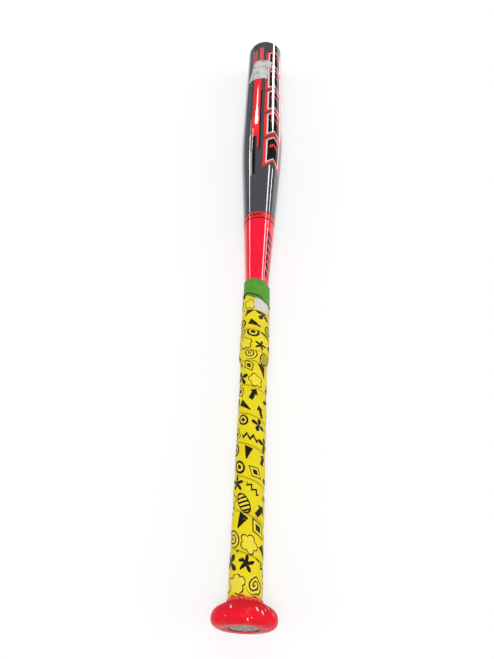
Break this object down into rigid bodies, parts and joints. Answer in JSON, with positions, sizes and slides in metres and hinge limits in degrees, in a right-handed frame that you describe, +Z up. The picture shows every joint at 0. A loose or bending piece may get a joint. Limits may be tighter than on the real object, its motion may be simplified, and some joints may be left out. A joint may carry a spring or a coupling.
{
  "type": "baseball bat",
  "caption": "Two-piece bat with a hollow tapered barrel, capped end, jointed handle, spiral-wound grip and rounded knob, lying on its side.",
  "frame": {"origin": "centre of the footprint on the floor that the bat lies on", "axes": "+Y from the knob to the barrel end, +X to the right seen from the knob, +Z up; the bat's axis climbs about a third of a degree towards +Y because knob and barrel both touch the floor"},
  "size_m": [0.0571, 0.8638, 0.0584],
  "materials": {
    "barrel_paint": "glossy charcoal paint with red and black graphics under clear coat",
    "cap_plastic": "moulded black plastic",
    "ring_rubber": "red elastomer between dark joint lines",
    "handle_paint": "bright glossy red over a composite tube",
    "knob_paint": "glossy red with small chips",
    "plug_metal": "mottled silver grey",
    "grip_rubber": null,
    "finish_rubber": "matte green",
    "label_paper": "off-white paper",
    "patch_paper": "off-white film"
  },
  "bodies": {
    "root": {"barrel": "barrel_paint", "end_cap": "cap_plastic", "joint_ring": "ring_rubber", "handle": "handle_paint", "knob": "knob_paint", "knob_plug": "plug_metal", "grip_tape": "grip_rubber", "finishing_tape": "finish_rubber", "price_label": "label_paper", "grip_label": "patch_paper"}
  },
  "joints": []
}
